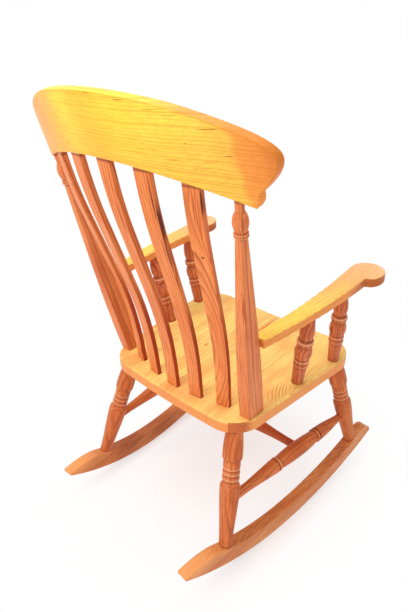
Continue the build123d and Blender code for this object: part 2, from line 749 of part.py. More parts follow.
def side_stretcher(rear, front):
    """The left side stretcher, from the rear leg to the front one."""
    length = (front - rear).length
    start, finish = stretcher_end_stop, length - stretcher_end_stop
    half, groove = stretcher_collar_length / 2, stretcher_groove_radius
    rear_radius, front_radius = stretcher_rear_radius, stretcher_front_radius
    rear_collar, front_collar = length * stretcher_rear_collar, length * stretcher_front_collar
    barrel = (rear_collar + front_collar) / 2
    rear_start = start + stretcher_rear_plain
    rear_end = rear_collar - half - stretcher_groove_length
    front_start = front_collar + half + stretcher_groove_length
    front_end = finish - stretcher_front_plain
    with BuildPart() as stretcher:
        with BuildSketch(turning_plane(rear, front)):
            with BuildLine():
                Polyline((0, start), (rear_radius, start), (rear_radius, rear_start))
                Bezier(
                    (rear_radius, rear_start),
                    (rear_radius, rear_start + stretcher_end_ease),
                    (stretcher_cone_radius, rear_end - stretcher_rear_ease),
                    (stretcher_cone_radius, rear_end),
                )
                Polyline((stretcher_cone_radius, rear_end), (groove, rear_end), (groove, rear_collar - half))
                bead(groove, rear_collar - half, stretcher_collar_length, stretcher_collar_rise)
                ThreePointArc(
                    (groove, rear_collar + half),
                    (stretcher_middle_radius, barrel),
                    (groove, front_collar - half),
                )
                bead(groove, front_collar - half, stretcher_collar_length, stretcher_collar_rise)
                Line((groove, front_collar + half), (groove, front_start))
                Line((groove, front_start), (stretcher_cone_radius, front_start))
                Bezier(
                    (stretcher_cone_radius, front_start),
                    (stretcher_cone_radius, front_start + stretcher_front_ease),
                    (front_radius, front_end - stretcher_end_ease),
                    (front_radius, front_end),
                )
                Polyline((front_radius, front_end), (front_radius, finish), (0, finish), (0, start))
            make_face()
        revolve(axis=Axis(rear, front - rear))
    return stretcher.part


def cross_stretcher(left):
    """The stretcher between the two side stretchers, whose left end is aimed at a point."""
    right = Vector(-left.X, left.Y, left.Z)
    length = (left - right).length
    start, finish = cross_end_stop, length - cross_end_stop
    end_radius, swell, taper = cross_end_radius, start + cross_end_plain, finish - cross_end_plain
    with BuildPart() as stretcher:
        with BuildSketch(turning_plane(right, left)):
            with BuildLine():
                Polyline((0, start), (end_radius, start), (end_radius, swell))
                flow((end_radius, swell), (cross_middle_radius, length / 2))
                flow((cross_middle_radius, length / 2), (end_radius, taper))
                Polyline((end_radius, taper), (end_radius, finish), (0, finish), (0, start))
            make_face()
        revolve(axis=Axis(right, left - right))
    return stretcher.part


# ------------------------------------------------------------------ making the pieces
post = back_post()
lower_tenon, post_seat_mortise = round_joint(
    post_base, post_base - post_top, post_seat_tenon_diameter, post_seat_tenon_length
)
upper_tenon, post_crest_mortise = round_joint(
    post_top, post_top - post_base, post_crest_tenon_diameter, post_crest_tenon_length
)
left_seat_mortises = [post_seat_mortise]
seat_mortises = []
crest_mortises = [post_crest_mortise, mirrored(post_crest_mortise)]

for number in range(slat_count):
    slat, seat_mortise, crest_mortise = back_slat((slat_count - 1) / 2 - number)
    seat_mortises.append(seat_mortise)
    crest_mortises.append(crest_mortise)
    save(slat, f"back_slat_{number + 1}")

arm = arm_blank()
arm_mortises = []
for place in spindle_insets:
    spindle, seat_mortise, arm_mortise = arm_spindle(place, arm)
    left_seat_mortises.append(seat_mortise)
    arm_mortises.append(arm_mortise)
    save_pair(spindle, f"arm_spindle_{place}")

dowel_line = arm_plane.y_dir
dowel_level = on_plane(arm_middle, (arm_rear_middle + post_at_arm.X) / 2, post_at_arm.Y)
dowel_mouth = dowel_level + dowel_line * (
    arm_end.z_dir.dot(arm_end.origin - dowel_level) / arm_end.z_dir.dot(dowel_line)
)
arm_dowel, arm_dowel_hole = dowel(
    dowel_mouth - dowel_line * (arm_dowel_length - arm_dowel_in_post),
    dowel_mouth + dowel_line * arm_dowel_in_post,
    arm_dowel_diameter,
)
save_pair(arm_dowel, "arm_dowel")
save_pair(joined(arm, [], arm_mortises + [arm_dowel_hole]), "arm")
save_pair(joined(post, [lower_tenon, upper_tenon], [arm_dowel_hole]), "back_post")
save(joined(crest_blank, [], crest_mortises), "crest_rail")

rear_point = leg_at("rear", stretcher_heights["rear"])
front_point = leg_at("front", stretcher_heights["front"])
cross_point = rear_point + (front_point - rear_point) * cross_place
leg_plugs = {
    "rear": plug(rear_point, front_point - rear_point, stretcher_rear_radius, stretcher_end_stop),
    "front": plug(front_point, rear_point - front_point, stretcher_front_radius, stretcher_end_stop),
}
cross_plug = plug(cross_point, Vector(-1, 0, 0), cross_end_radius, cross_end_stop)
rocker_mortises = []
for place in leg_insets:
    turned_leg, seat_mortise, rocker_mortise = leg(place)
    left_seat_mortises.append(seat_mortise)
    rocker_mortises.append(rocker_mortise)
    save_pair(joined(turned_leg, [], [leg_plugs[place]]), f"leg_{place}")
save_pair(joined(rocker_blank(), [], rocker_mortises), "rocker")
save_pair(joined(side_stretcher(rear_point, front_point), [], [cross_plug]), "side_stretcher")
save(cross_stretcher(cross_point), "cross_stretcher")

board_width = seat_front_width / seat_board_count
seat_mortises += left_seat_mortises + [mirrored(mortise) for mortise in left_seat_mortises]
dowel_plane = seat_plane.offset(-seat_thickness / 2)
dowel_half = Vector(seat_dowel_length / 2, 0, 0)
seat_dowels = []
for joint in range(1, seat_board_count):
    for row in range(seat_dowel_count):
        step = (row - (seat_dowel_count - 1) / 2) * seat_dowel_spacing
        joint_x = joint * board_width - seat_front_width / 2
        middle = on_plane(dowel_plane, joint_x, seat_dowel_middle + step)
        pin, hole = dowel(middle - dowel_half, middle + dowel_half, seat_dowel_diameter)
        seat_dowels.append(pin)
        seat_mortises.append(hole)

with BuildPart() as dowels:
    add(seat_dowels)
save(dowels.part, "seat_dowels")

for number in range(seat_board_count):
    strip_x = seat_front_width / 2 - (number + 0.5) * board_width
    with BuildPart() as board:
        add(seat_blank)
        with BuildSketch(seat_plane):
            with Locations((strip_x, 0)):
                Rectangle(board_width, 4 * seat_front)
        extrude(amount=2 * seat_thickness, both=True, mode=Mode.INTERSECT)
        add(seat_mortises, mode=Mode.SUBTRACT)
    save(board.part, f"seat_board_{number + 1}")
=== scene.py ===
import math

import bpy
import numpy as np
from mathutils import Matrix, Vector

# A rocking chair of varnished pine. Its pieces come from the frame and keep their shape; this script
# gives each one its own wood, and sets up the floor, the light and the camera.
# Marks and patterns are in millimetres; the middles of pieces, lamps and the camera are in metres.
# X points to the sitter's left, Y to the back and Z up.

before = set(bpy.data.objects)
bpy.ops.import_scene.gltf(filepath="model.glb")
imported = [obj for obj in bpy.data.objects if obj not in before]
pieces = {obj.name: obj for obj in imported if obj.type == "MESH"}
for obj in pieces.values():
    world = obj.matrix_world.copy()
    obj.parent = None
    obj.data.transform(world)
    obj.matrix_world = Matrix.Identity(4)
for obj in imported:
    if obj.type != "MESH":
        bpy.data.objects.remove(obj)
for spare in ("Cube", "Light", "Camera"):       # what an empty Blender file holds
    if spare in bpy.data.objects:
        bpy.data.objects.remove(bpy.data.objects[spare])
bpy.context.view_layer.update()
scene = bpy.context.scene


# ------------------------------------------------------------------ colours and nodes
def shade(red, green, blue):
    """A colour given as it looks on a screen, 0 to 255, turned into linear light."""
    parts = np.array([red, green, blue], float) / 255
    linear = np.where(parts <= 0.04045, parts / 12.92, ((parts + 0.055) / 1.055) ** 2.4)
    return (*linear.tolist(), 1.0)


def put(tree, kind, *inputs, **settings):
    """Adds a node; each input is a socket to link, a value to set, or None to leave."""
    made = tree.nodes.new(kind)
    for name, value in settings.items():
        setattr(made, name, value)
    for socket, value in zip(made.inputs, inputs):
        if isinstance(value, bpy.types.NodeSocket):
            tree.links.new(value, socket)
        elif value is not None:
            socket.default_value = value
    return made


def sums(tree, operation, *inputs):
    """One arithmetic step on numbers."""
    return put(tree, "ShaderNodeMath", *inputs, operation=operation).outputs[0]


def product(tree, *factors):
    """All the factors multiplied."""
    total = factors[0]
    for factor in factors[1:]:
        total = sums(tree, "MULTIPLY", total, factor)
    return total


def vector(tree, operation, *inputs):
    """One arithmetic step on vectors."""
    return put(tree, "ShaderNodeVectorMath", *inputs, operation=operation).outputs[0]


def split(tree, value):
    """The three numbers of a vector."""
    return put(tree, "ShaderNodeSeparateXYZ", value).outputs


def facing(tree, normal, direction):
    """How squarely a surface faces a direction: the dot product, 1 towards it and -1 away from it."""
    made = put(tree, "ShaderNodeVectorMath", normal, Vector(direction), operation="DOT_PRODUCT")
    return made.outputs["Value"]


def spread(tree, value, low, high, to_low=0.0, to_high=1.0):
    """The value's range low to high, stretched to another range and held there."""
    return put(tree, "ShaderNodeMapRange", value, low, high, to_low, to_high).outputs[0]


def blend(tree, factor, first, second):
    """Mixes two colours."""
    made = tree.nodes.new("ShaderNodeMix")
    made.data_type = "RGBA"
    # the sockets between these are for mixing numbers and vectors
    for place, value in ((0, factor), (6, first), (7, second)):
        if isinstance(value, bpy.types.NodeSocket):
            tree.links.new(value, made.inputs[place])
        else:
            made.inputs[place].default_value = value
    return made.outputs[2]


def ramp(tree, value, stops, interpolation="LINEAR"):
    """A colour ramp; each stop is its place and its colour, or a grey given as one number."""
    made = put(tree, "ShaderNodeValToRGB", value)
    made.color_ramp.interpolation = interpolation
    points = made.color_ramp.elements
    while len(points) < len(stops):
        points.new(1.0)
    for point, (place, colour) in zip(points, stops):
        point.position = place
        point.color = colour if isinstance(colour, tuple) else (colour, colour, colour, 1.0)
    return made.outputs[0]


def noise(tree, where, cell, detail=2.0, rough=0.5):
    """Soft noise about 0.5, whose patches have the size of the cell in millimetres."""
    made = put(tree, "ShaderNodeTexNoise", vector(tree, "DIVIDE", where, Vector(cell)))
    made.inputs["Scale"].default_value = 1.0
    made.inputs["Detail"].default_value = detail
    made.inputs["Roughness"].default_value = rough
    return made


def bell(tree, spot, place, size):
    """A bump of 1 at a place that fades over a size: exp(-d * d / 2) of the scaled distance d."""
    away = vector(tree, "DIVIDE", vector(tree, "SUBTRACT", spot, Vector(place)), Vector(size))
    square = put(tree, "ShaderNodeVectorMath", away, away, operation="DOT_PRODUCT").outputs["Value"]
    return sums(tree, "EXPONENT", product(tree, square, -0.5))


# ------------------------------------------------------------------ how the grain lies
def points_of(name):
    """The piece's points as rows, in metres."""
    mesh = pieces[name].data
    points = np.empty(len(mesh.vertices) * 3)
    mesh.vertices.foreach_get("co", points)
    return points.reshape(-1, 3)


def grain_axes(name):
    """Middle of a piece, its longest direction and the next, each pointing up, back or left."""
    points = points_of(name)
    axes = np.linalg.eigh(np.cov((points - points.mean(0)).T))[1]
    length, width = axes[:, 2], axes[:, 1]
    length = length * np.sign(length[np.abs(length).argmax()])
    width = width * np.sign(width[np.abs(width).argmax()])
    return (points.min(0) + points.max(0)) / 2, length, width


def turning_axes(name):
    """The same from a piece's lower or rear end in place of its middle, and its length in millimetres."""
    points = points_of(name)
    _, length, width = grain_axes(name)
    places = points @ length
    middle = points.mean(0)
    start = middle + length * (places.min() - middle @ length)
    return start, length, width, 1000 * (places.max() - places.min())


def square_axes(length, width):
    """Turns two directions into a turned frame: length, width and their normal."""
    length = Vector(length).normalized()
    normal = length.cross(Vector(width)).normalized()
    return Matrix((length, normal.cross(length), normal)).transposed()


# ------------------------------------------------------------------ varnished pine
# what one size of figure in the wood measures along, across and into the grain
bend_cell = (420, 70, 70)
cloud_cell = (170, 34, 34)
streak_cell = (80, 4.5, 4.5)
dash_cell = (16, 2.0, 2.0)

# how dark a ring is from the start of its year to the end
year_profile = [(0.0, 0.0), (0.35, 0.08), (0.6, 0.45), (0.8, 1.0), (0.92, 0.85), (1.0, 0.0)]
faintest_year = 0.25
season_pace = 0.23              # how fast wide and narrow years take turns
season_drift = 3.0              # by how many rings they shift

fibre_depth = 0.6
# the dark of a groove or joint: partly stain and glue, partly painted shade in the recess
stain_and_painted_shade = shade(96, 40, 26)
# painted highlight on the crowns of the beads
painted_bead_highlight = shade(255, 214, 168)
varnish = {"Specular IOR Level": 0.11, "Coat Weight": 0.04, "Coat Roughness": 0.2}
roughness_range = (0.32, 0.44)
relief_strength = 0.2
relief_depth = 0.0004           # metres


def mark(at, size, colour, strength=0.8, push=0.0):
    """
    A knot, streak, dash, or a patch of painted light or shade: its place on the chair, its size along,
    across and into the grain, its colour and how strong that is, and how far it pushes the grain aside as a
    share of its size.
    """
    return {"at": at, "size": size, "colour": colour, "strength": strength, "push": push}


def growth_rings(tree, grain, ring, pith, lean):
    """
    Growth rings are cylinders round the pith, a line beside the piece that leans as it runs: the distance
    to it is divided by the ring width and shifted by slow noise. The fraction of that is the time of
    year, which darkens from pale early wood to a thin late line, and each whole year has its own strength.
    """
    along, across, deep = split(tree, grain)
    beside = sums(tree, "ADD", product(tree, along, lean[0]), sums(tree, "SUBTRACT", across, pith[0]))
    under = sums(tree, "ADD", product(tree, along, lean[1]), sums(tree, "SUBTRACT", deep, pith[1]))
    square = sums(tree, "ADD", product(tree, beside, beside), product(tree, under, under))
    years = sums(tree, "DIVIDE", sums(tree, "SQRT", square), ring)
    seasons = put(tree, "ShaderNodeTexNoise", noise_dimensions="1D")
    tree.links.new(product(tree, years, season_pace), seasons.inputs["W"])
    seasons.inputs["Scale"].default_value = 1.0
    years = sums(tree, "ADD", years, product(tree, seasons.outputs[0], season_drift))
    dark = ramp(tree, sums(tree, "FRACT", years), year_profile)
    each_year = put(tree, "ShaderNodeTexWhiteNoise", noise_dimensions="1D")
    tree.links.new(sums(tree, "FLOOR", years), each_year.inputs["W"])
    return product(tree, dark, spread(tree, each_year.outputs["Value"], 0.0, 1.0, faintest_year, 1.0))


def banded(tree, along, bands, colour):
    """Colours the bands of a turned piece: a ramp along it lies over 0.5 for stain and painted shade and
    under it for a painted highlight.
    """
    far = 1.02 * max(place for place, _, _ in bands)
    stops = [(0.0, 0.5)]
    for place, half, amount in sorted(bands):
        stops.append(((place - half) / far, 0.5))
        stops.append((place / far, 0.5 + amount / 2))
        stops.append(((place + half) / far, 0.5))
    band_ramp = ramp(tree, sums(tree, "DIVIDE", along, far), stops)
    colour = blend(tree, spread(tree, band_ramp, 0.5, 1.0), colour, stain_and_painted_shade)
    return blend(tree, spread(tree, band_ramp, 0.5, 0.0), colour, painted_bead_highlight)


def pine(name, middle, length, width, tones, ring, pith, lean=(0.0, 0.0), warp=6.0, contrast=0.6,
         mottle=0.6, fibre=0.5, end=0.4, finish=None, marks=(), bands=()):
    """
    Varnished pine, in three tones: light, warm and dark. Clouds mix the light and the warm one. Dark
    rings, streaks and resin dashes lie over them, all bent by slow noise and pushed aside by knots, and
    the cut ends of the grain are darker. A recolouring changes the wood's colour, painting light and
    shade on some pieces, and says how strongly its rings show. Bands are a place along a turned piece,
    half a width, and how much stain and painted shade lies there in a groove or joint or, below 0, how
    strong a painted highlight is on a bead.
    """
    light, warm, dark = tones
    axes = square_axes(length, width)
    material = bpy.data.materials.new(name)
    material.use_nodes = True
    tree = material.node_tree
    tree.nodes.clear()
    surface = put(tree, "ShaderNodeTexCoord").outputs
    place = put(tree, "ShaderNodeMapping", surface["Object"], vector_type="TEXTURE")
    place.inputs["Location"].default_value = Vector(middle)
    place.inputs["Rotation"].default_value = axes.to_euler()
    place.inputs["Scale"].default_value = (0.001, 0.001, 0.001)
    spot = place.outputs[0]

    slow = noise(tree, spot, bend_cell, 2.0, 0.45).outputs["Color"]
    slow = vector(tree, "SUBTRACT", slow, (0.5, 0.5, 0.5))
    bent = vector(tree, "ADD", spot, vector(tree, "MULTIPLY", slow, (0, warp, warp)))
    bumps = []
    for each in marks:
        local = axes.transposed() @ (Vector(each["at"]) / 1000 - Vector(middle)) * 1000
        bump = bell(tree, spot, local, each["size"])
        bumps.append(bump)
        if each["push"]:
            aside = vector(tree, "SUBTRACT", spot, local)
            aside = vector(tree, "SCALE", aside, None, None, product(tree, bump, each["push"]))
            bent = vector(tree, "SUBTRACT", bent, aside)

    rings = growth_rings(tree, bent, ring, pith, lean)
    streaks = spread(tree, noise(tree, bent, streak_cell, 4.0, 0.7).outputs[0], 0.36, 0.68)
    dashes = spread(tree, noise(tree, bent, dash_cell, 1.0, 0.5).outputs[0], 0.62, 0.74)
    clouds = spread(tree, noise(tree, spot, cloud_cell, 3.0, 0.6).outputs[0], 0.36, 0.64)

    colour, lines = blend(tree, product(tree, clouds, mottle), light, warm), contrast
    # the recolouring paints light and shade on the crest rail, the slats and the arms
    if finish is not None:
        colour, lines = finish(tree, spot, surface["Normal"], colour)
        lines = product(tree, lines, contrast)
    colour = blend(tree, product(tree, rings, lines), colour, dark)
    colour = blend(tree, product(tree, streaks, fibre * fibre_depth), colour, dark)
    colour = blend(tree, product(tree, dashes, fibre * fibre_depth), colour, dark)
    across_grain = sums(tree, "ABSOLUTE", facing(tree, surface["Normal"], Vector(length).normalized()))
    colour = blend(tree, product(tree, spread(tree, across_grain, 0.5, 0.95), end), colour, dark)
    for each, bump in zip(marks, bumps):
        ragged = sums(tree, "ADD", bump, product(tree, sums(tree, "SUBTRACT", streaks, 0.5), 0.35))
        core = product(tree, spread(tree, ragged, 0.3, 0.75), spread(tree, bump, 0.02, 0.2))
        colour = blend(tree, product(tree, core, each["strength"]), colour, each["colour"])
    if bands:
        colour = banded(tree, split(tree, spot)[0], bands, colour)

    relief = put(tree, "ShaderNodeBump", invert=True)
    relief.inputs["Strength"].default_value = relief_strength
    relief.inputs["Distance"].default_value = relief_depth
    height = sums(tree, "ADD", product(tree, rings, 0.6), product(tree, streaks, 0.4))
    tree.links.new(height, relief.inputs["Height"])
    shader = put(tree, "ShaderNodeBsdfPrincipled")
    tree.links.new(colour, shader.inputs["Base Color"])
    tree.links.new(spread(tree, streaks, 0.0, 1.0, *roughness_range), shader.inputs["Roughness"])
    tree.links.new(relief.outputs[0], shader.inputs["Normal"])
    for socket, value in varnish.items():
        shader.inputs[socket].default_value = value
    put(tree, "ShaderNodeOutputMaterial", shader.outputs[0])
    return material


def dress(name, *axes, **look):
    """Gives a CAD piece its own pine."""
    pieces[name].data.materials[0] = pine(name.replace("_", " ") + " pine", *axes, **look)


def dress_turned(name, places, **look):
    """The same with bands, whose places count from the lower or rear end, or below 0 from the other."""
    start, length, width, total = turning_axes(name)
    bands = [(place if place > 0 else total + place, half, amount) for place, half, amount in places]
    dress(name, start, length, width, bands=bands, **look)


# ------------------------------------------------------------------ crest rail
crest_middle = (0.0, 0.33, 1.03)
crest_up = (0, 0.262, 0.965)    # the way the leaning rail rises
crest_reach = 330.0             # from its middle to its ends
crest_slant = 0.00026           # how far its colours shift for each millimetre up, as a share of its length
# colours along the rail; the darker amber and orange towards the ends are partly the wood's colour and
# partly painted shade where the rail curves away
crest_tints = [
    (0.0, shade(200, 98, 56)),
    (0.03, shade(222, 118, 62)),
    (0.06, shade(240, 140, 70)),
    (0.09, shade(247, 156, 76)),
    (0.115, shade(250, 206, 90)),
    (0.17, shade(252, 226, 90)),
    (0.27, shade(252, 230, 84)),
    (0.38, shade(253, 226, 74)),
    (0.52, shade(250, 204, 62)),
    (0.62, shade(253, 224, 70)),
    (0.73, shade(248, 186, 72)),
    (0.84, shade(243, 156, 80)),
    (1.0, shade(236, 140, 84)),
]


def crest_finish(tree, spot, normal, colour):
    """
    Yellow in the middle, amber towards the left end and along the lower edge, and orange at the right
    end, where it starts along a slanting line. The darker ends are partly painted shade where the rail
    curves away. Light and shade are painted on the upper edge: a yellow highlight that turns to brown
    shade to the right, and a thin painted shade where it meets the back face. The rings fade to the left.
    """
    along, height, _ = split(tree, spot)
    drift = sums(tree, "SUBTRACT", noise(tree, spot, (150, 50, 50), 3.0).outputs[0], 0.5)
    place = sums(tree, "ADD", spread(tree, along, -crest_reach, crest_reach), product(tree, drift, 0.06))
    place = sums(tree, "SUBTRACT", place, product(tree, height, crest_slant))
    tint = ramp(tree, place, crest_tints, "EASE")
    low = sums(tree, "ADD", height, product(tree, drift, 70.0))
    low = product(tree, spread(tree, low, -70.0, 15.0, 0.5, 0.0), spread(tree, along, -275.0, -255.0))
    tint = blend(tree, low, tint, shade(249, 186, 78))
    rise = facing(tree, normal, crest_up)
    upper = spread(tree, rise, 0.45, 0.9)
    # painted highlight: the upper face is painted yellow from the middle leftwards
    painted_highlight_edge = product(tree, upper, spread(tree, along, -220.0, -60.0))
    tint = blend(tree, painted_highlight_edge, tint, shade(255, 218, 76))
    # painted shade: the upper face turns brown towards the right end
    painted_shade_edge = product(tree, upper, spread(tree, along, -120.0, -200.0, 0.0, 0.8))
    tint = blend(tree, painted_shade_edge, tint, shade(218, 124, 56))
    # painted shade: a thin dark line on the rounded fold between the upper face and the back face
    painted_fold_shade = product(tree, spread(tree, rise, 0.2, 0.4), spread(tree, rise, 0.75, 0.5), 0.6)
    tint = blend(tree, painted_fold_shade, tint, shade(206, 112, 36))
    return blend(tree, 0.85, colour, tint), spread(tree, along, -150.0, 180.0, 1.0, 0.45)


burnt, amber, resin = shade(150, 78, 30), shade(226, 128, 56), shade(176, 104, 34)
crest_marks = [
    mark((-15, 349, 1080), (7, 0.6, 6), resin, 0.8),
    mark((-89, 343, 1074), (11, 0.7, 6), resin, 0.9),
    mark((-150, 332, 1063), (26, 0.6, 6), resin, 0.7),
    mark((-181, 324, 1056), (12, 0.6, 6), resin, 0.8),
    mark((-235, 300, 1040), (26, 0.7, 6), burnt, 0.8),
    mark((-262, 280, 1002), (9, 0.6, 5), burnt, 0.9),
    mark((-197, 307, 1016), (0.9, 0.7, 4), burnt, 0.9),
    mark((-165, 307, 987), (14, 0.7, 5), amber, 0.8),
    mark((-217, 290, 978), (16, 0.7, 5), amber, 0.8),
    mark((-240, 290, 990), (22, 0.6, 5), amber, 0.8),
    mark((-130, 320, 1000), (30, 0.6, 5), amber, 0.6),
    mark((150, 320, 1050), (70, 9, 12), shade(247, 176, 92), 0.45),
]
crest_tones = (shade(252, 208, 84), shade(249, 190, 80), shade(206, 116, 34))
dress("crest_rail", crest_middle, (1, 0, 0), crest_up, crest_tones, ring=5.6, pith=(-520.0, -140.0),
      lean=(0.01, 0.0), warp=14.0, contrast=0.55, mottle=0.3, fibre=0.4, end=0.2, finish=crest_finish,
      marks=crest_marks)

# ------------------------------------------------------------------ back slats
slat_tones = (shade(248, 158, 92), shade(238, 128, 68), shade(158, 62, 30))
# the slat's two bands darken its ends as a glue line and painted shade at the joints
slat_bands = [(20.0, 2.5, 0.7), (-22.0, 4.0, 0.8)]      # where the slat enters the seat and the crest rail
char = shade(70, 26, 16)


def slat_finish(tree, spot, normal, colour):
    """Painted shade: a redder, darker tone low down on the narrow side of a slat that faces right, where the
    next slat and the post keep the light off.
    """
    leftwards = facing(tree, normal, (1, 0, 0))
    along = split(tree, spot)[0]
    low_down = spread(tree, along, 300.0, 190.0, 0.15, 0.85)
    # painted shade on the right-facing narrow side, strongest low down
    red = product(tree, spread(tree, leftwards, -0.55, -0.9), low_down)
    return blend(tree, red, colour, shade(160, 46, 28)), 1.0


slat_looks = {
    1: dict(ring=6.0, pith=(58.0, -30.0), lean=(0.03, 0.02), contrast=0.8),
    2: dict(ring=5.4, pith=(-64.0, -22.0), lean=(-0.04, 0.03), contrast=0.75, marks=[
        mark((84, 280, 832), (26, 2.0, 6), shade(176, 74, 36), 0.7),
        mark((88, 292, 880), (30, 1.6, 6), shade(176, 74, 36), 0.6)]),
    3: dict(ring=5.2, pith=(76.0, -30.0), lean=(0.05, 0.02), contrast=0.8, marks=[
        mark((-9, 290, 850), (32, 2.2, 6), shade(178, 76, 40), 0.7),
        mark((6, 301, 905), (40, 3.0, 6), shade(200, 92, 48), 0.6)]),
    4: dict(ring=4.8, pith=(90.0, -26.0), lean=(-0.02, 0.01), warp=4.0, contrast=0.9, marks=[
        mark((-107, 300, 915), (42, 1.1, 9), char, 0.9),
        mark((-109, 286, 862), (32, 0.9, 9), char, 0.9),
        mark((-104, 262, 788), (30, 1.0, 9), char, 0.85),
        mark((-99, 268, 800), (26, 0.8, 9), shade(120, 50, 26), 0.8)]),
    5: dict(ring=4.2, pith=(22.0, -30.0), lean=(0.01, 0.05), warp=7.0, contrast=0.7, marks=[
        mark((-181, 251, 807.6), (3.0, 2.2, 9), shade(92, 38, 24), 0.95, push=0.9),
        mark((-204, 278, 922), (24, 1.6, 8), char, 0.9),
        mark((-188, 282, 906), (46, 1.4, 8), shade(172, 76, 38), 0.75),
        mark((-196, 278, 895), (60, 1.0, 8), shade(180, 84, 44), 0.7)]),
}
for number, look in slat_looks.items():
    dress_turned(f"back_slat_{number}", slat_bands, tones=slat_tones, finish=slat_finish, **look)

# ------------------------------------------------------------------ arms, posts and turned pieces
arm_tones = (shade(252, 214, 116), shade(249, 192, 110), shade(212, 122, 58))
arm_reach = 215.0               # from the arm's middle to its ends
arm_tints = [
    (0.0, shade(250, 200, 150)),
    (0.25, shade(248, 194, 128)),
    (0.45, shade(250, 208, 110)),
    (0.75, shade(253, 226, 98)),
    (1.0, shade(252, 216, 92)),
]
# painted shade on the arm's sides and underside, brown at the scroll and orange further back
arm_painted_side_shade = [(0.0, shade(156, 72, 40)), (0.2, shade(168, 80, 46)), (0.34, shade(238, 150, 76))]


def arm_finish(tree, spot, normal, colour):
    """Yellow at the rear of the arm, pale rose towards its scroll, and painted shade on its sides and
    underside, brown round the scroll's edge and orange further back.
    """
    drift = sums(tree, "SUBTRACT", noise(tree, spot, (120, 30, 30)).outputs[0], 0.5)
    place = spread(tree, split(tree, spot)[0], -arm_reach, arm_reach)
    place = sums(tree, "ADD", place, product(tree, drift, 0.3))
    # painted shade: faces that turn away from the top get the side colours
    side_faces = spread(tree, facing(tree, normal, (0, 0, 1)), 0.7, 0.1)
    tint = blend(tree, side_faces, ramp(tree, place, arm_tints, "EASE"), ramp(tree, place, arm_painted_side_shade))
    return blend(tree, 0.93, colour, tint), 1.0


post_tones = (shade(243, 152, 92), shade(226, 120, 70), shade(150, 64, 34))
post_marks = {
    "left": [
        mark((222, 190, 600), (150, 3.0, 12), shade(190, 88, 48), 0.6),
        mark((205, 150, 470), (90, 4.0, 12), shade(186, 84, 50), 0.55)],
    "right": [
        mark((-256, 226, 760), (90, 1.6, 6), shade(170, 70, 36), 0.7),
        mark((-262, 247, 925), (16, 2.6, 8), char, 0.85),
        mark((-262, 248, 888), (12, 2.6, 8), shade(150, 66, 38), 0.6),
        # painted shade: a thin dark line down the rounded corner of the post
        mark((-240, 172, 600), (150, 1.2, 6), shade(176, 84, 48), 0.5)],
}
spindle_tones = (shade(240, 144, 94), shade(212, 110, 70), shade(122, 42, 26))
leg_tones = (shade(236, 144, 84), shade(212, 112, 62), shade(136, 56, 30))
# a darker copy of the leg tones: painted shade on the cross stretcher, low under the seat
cross_tones_painted_shade = (shade(212, 116, 70), shade(194, 96, 58), shade(132, 54, 30))
rocker_tones = (shade(240, 164, 100), shade(214, 126, 72), shade(148, 76, 42))
# the far left rocker is darkened along its middle: painted shade under the chair, partly brown patches in
# its wood
rocker_patches_and_painted_shade = {
    "left": [
        mark((255, 150, 45), (62, 40, 40), shade(136, 60, 40), 0.55),
        mark((255, 10, 30), (60, 40, 40), shade(150, 72, 48), 0.45)],
    "right": [],
}

# the grooves, beads and joints of the turned pieces: place, half a width, and how much stain and painted
# shade lies in a groove or joint or, below 0, how strong a painted highlight is on a bead
post_bands = [
    (22.5, 2.5, 0.7), (-95.4, 1.3, 0.8), (-92.6, 1.4, -0.6), (-90.0, 1.0, 0.8), (-87.6, 1.4, -0.6),
    (-85.5, 1.2, 0.8), (-45.0, 1.6, 0.5), (-25.5, 3.0, 0.8)]
spindle_bands = [
    (19.5, 2.5, 0.7), (75.5, 1.8, 0.8), (82.5, 2.4, -0.25), (89.0, 1.4, 0.7), (97.0, 2.4, -0.5),
    (102.7, 1.8, 0.8), (142.5, 1.6, 0.7), (157.0, 3.0, -0.6), (163.0, 1.8, 0.8), (-18.0, 6.0, 0.8)]
leg_bands = [
    (26.0, 2.5, 0.7), (-155.5, 1.5, 0.8), (-150.0, 2.8, -0.35), (-142.0, 1.5, 0.75),
    (-136.5, 2.8, -0.35), (-128.5, 1.5, 0.75), (-124.0, 2.8, -0.35), (-104.0, 1.5, 0.7),
    (-22.5, 1.5, 0.8)]
stretcher_bands = [
    (126.2, 2.0, 0.9), (131.8, 2.4, -0.4), (137.7, 1.5, 0.8), (279.9, 1.5, 0.8), (285.6, 2.4, -0.4),
    (291.4, 2.0, 0.9)]

